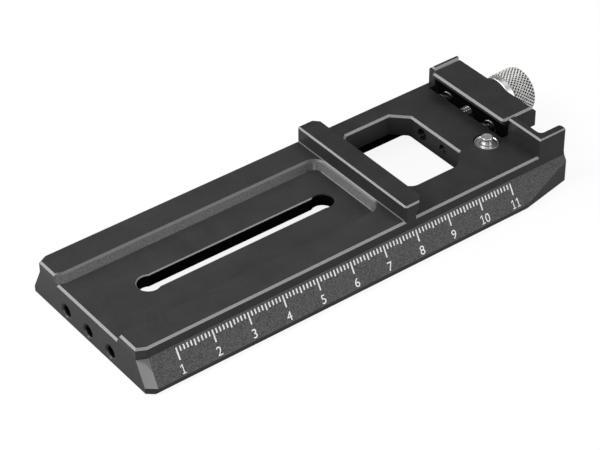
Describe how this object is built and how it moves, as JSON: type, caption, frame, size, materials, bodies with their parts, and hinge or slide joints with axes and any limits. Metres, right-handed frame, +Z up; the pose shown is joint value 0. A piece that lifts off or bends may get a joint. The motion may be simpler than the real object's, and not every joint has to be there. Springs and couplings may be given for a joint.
{
  "type": "tripod quick release plate",
  "caption": "Long dovetail quick release plate with a camera pocket, slotted floor, open window, scale edge and a screw clamp with a sliding jaw.",
  "frame": {"origin": "on the underside, on the plate's centre plane, straight under the clamping face of the fixed jaw", "axes": "+X along the plate towards the clamp knob, +Y across the plate away from the scale edge, +Z up"},
  "size_m": [0.1388, 0.05, 0.0162],
  "materials": {
    "plate_black": "fine blasted, black anodised",
    "jaw_black": "fine blasted, black anodised",
    "screw_steel": "bright thread",
    "knob_silver": "knurled, bright",
    "rod_steel": "ground",
    "spring_steel": "drawn wire",
    "pin_steel": "turned, bright"
  },
  "bodies": {
    "plate": {"plate_body": "plate_black", "guide_rod_near": "rod_steel", "guide_rod_far": "rod_steel", "jaw_spring_near": "spring_steel", "jaw_spring_far": "spring_steel", "safety_pin_sleeve": "pin_steel", "safety_pin_spring": "spring_steel"},
    "jaw": {"moving_jaw": "jaw_black"},
    "knob": {"clamp_knob": "knob_silver", "clamp_screw": "screw_steel"},
    "pin": {"safety_pin": "pin_steel"}
  },
  "joints": [
    {"name": "jaw_slide", "type": "slide", "parent": "plate", "child": "jaw", "axis": [1, 0, 0], "range_m": [-0.003, 0.003], "deforming": ["jaw_spring_near", "jaw_spring_far"]},
    {"name": "knob_spin", "type": "hinge", "parent": "jaw", "child": "knob", "pos_m": [0.0505, 0.0071, 0.0083], "axis": [1, 0, 0], "range_deg": [-1540, 1540]},
    {"name": "safety_pin_press", "type": "slide", "parent": "plate", "child": "pin", "axis": [0, 0, 1], "range_m": [-0.0015, 0], "stiffness_N_per_m": 800, "springref_m": 0.001, "deforming": ["safety_pin_spring"]}
  ],
  "couplings": [
    {"joint": "jaw_slide", "follows": "knob_spin", "m_per_rad": 0.00011141}
  ]
}
